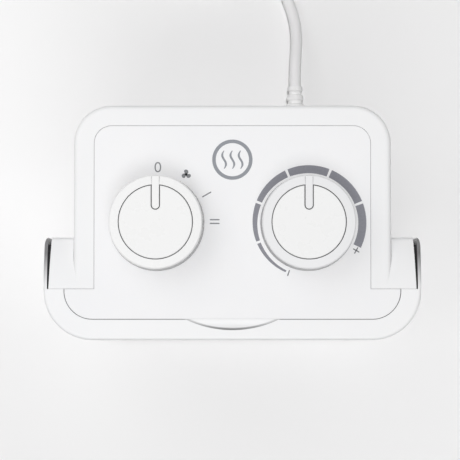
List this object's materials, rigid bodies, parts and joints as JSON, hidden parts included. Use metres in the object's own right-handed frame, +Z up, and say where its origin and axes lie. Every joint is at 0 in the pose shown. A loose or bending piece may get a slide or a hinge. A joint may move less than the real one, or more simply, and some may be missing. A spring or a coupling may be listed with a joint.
{
  "type": "ceramic fan heater",
  "caption": "Upright portable ceramic fan heater with a mode knob and a thermostat knob on its control plate, front outlet grille, rear intake and mains cord.",
  "frame": {"origin": "on the floor, under the middle of the housing's width and depth", "axes": "+Z up, -Y towards the front outlet grille, +X to the right of someone who faces the grille from behind the heater"},
  "size_m": [0.2129, 0.3426, 0.253],
  "materials": {
    "white_plastic": "fine satin moulding",
    "knob_plastic": "smooth satin",
    "base_plastic": "fine moulded texture",
    "dark_plastic": "fine moulded texture",
    "switch_plastic": "moulded",
    "heat_proof_plastic": "heat-proof moulding",
    "grey_nylon": "moulded",
    "plunger_plastic": "moulded",
    "filter_mesh": "open mesh in a frame",
    "rubber": "matt",
    "relief_rubber": "matt",
    "cord_sheath": "smooth matt sheath",
    "plug_plastic": "moulded",
    "tie_plastic": "flat band",
    "steel": "plated",
    "motor_steel": "lacquered can",
    "screw_steel": "zinc plated",
    "aluminium": "bare sheet",
    "brass": "plated",
    "ceramic": "unglazed"
  },
  "bodies": {
    "housing": {"front_frame": "white_plastic", "front_grille": "dark_plastic", "rear_shell": "white_plastic", "rear_grille": "white_plastic", "dust_filter": "filter_mesh", "left_side_intake": "dark_plastic", "right_side_intake": "dark_plastic", "top_plate": "white_plastic", "mode_switch": "switch_plastic", "thermostat": "ceramic", "terminal_tabs": "brass", "base_plate": "base_plastic", "rubber_feet": "rubber", "air_guide": "switch_plastic", "motor_bracket": "steel", "fan_motor": "motor_steel", "element_frame": "heat_proof_plastic", "ceramic_bars": "aluminium", "radiator_fins": "aluminium", "thermal_cutout": "steel", "thermal_fuse": "ceramic", "tip_over_switch": "switch_plastic", "terminal_block": "heat_proof_plastic", "inner_lead": "cord_sheath", "strain_relief": "relief_rubber", "power_cord": "cord_sheath", "cord_coil": "cord_sheath", "cord_tail": "cord_sheath", "cord_tie": "tie_plastic", "plug_body": "plug_plastic", "plug_pins": "brass", "shell_screws": "screw_steel", "base_screws": "screw_steel", "motor_screws": "screw_steel"},
    "mode_control": {"mode_knob": "knob_plastic", "mode_knob_cap": "knob_plastic", "mode_switch_shaft": "grey_nylon"},
    "thermostat_control": {"thermostat_knob": "knob_plastic", "thermostat_knob_cap": "knob_plastic", "thermostat_shaft": "steel"},
    "fan_rotor": {"fan_impeller": "switch_plastic", "motor_shaft": "steel", "impeller_nut": "brass"},
    "tip_plunger": {"tip_over_plunger": "plunger_plastic"}
  },
  "joints": [
    {"name": "mode_knob_turn", "type": "hinge", "parent": "housing", "child": "mode_control", "pos_m": [-0.0385, -0.0003, 0.23475], "axis": [0, 0, 1], "range_deg": [-90, 0]},
    {"name": "thermostat_knob_turn", "type": "hinge", "parent": "housing", "child": "thermostat_control", "pos_m": [0.0385, -0.0003, 0.23475], "axis": [0, 0, 1], "range_deg": [-118, 155]},
    {"name": "fan_spin", "type": "hinge", "parent": "housing", "child": "fan_rotor", "pos_m": [0, -0.0067, 0.119], "axis": [0, 1, 0], "continuous": true},
    {"name": "tip_plunger_slide", "type": "slide", "parent": "housing", "child": "tip_plunger", "axis": [0, 0, -1], "range_m": [0, 0.004], "stiffness_N_per_m": 60, "springref_m": 0.006}
  ]
}
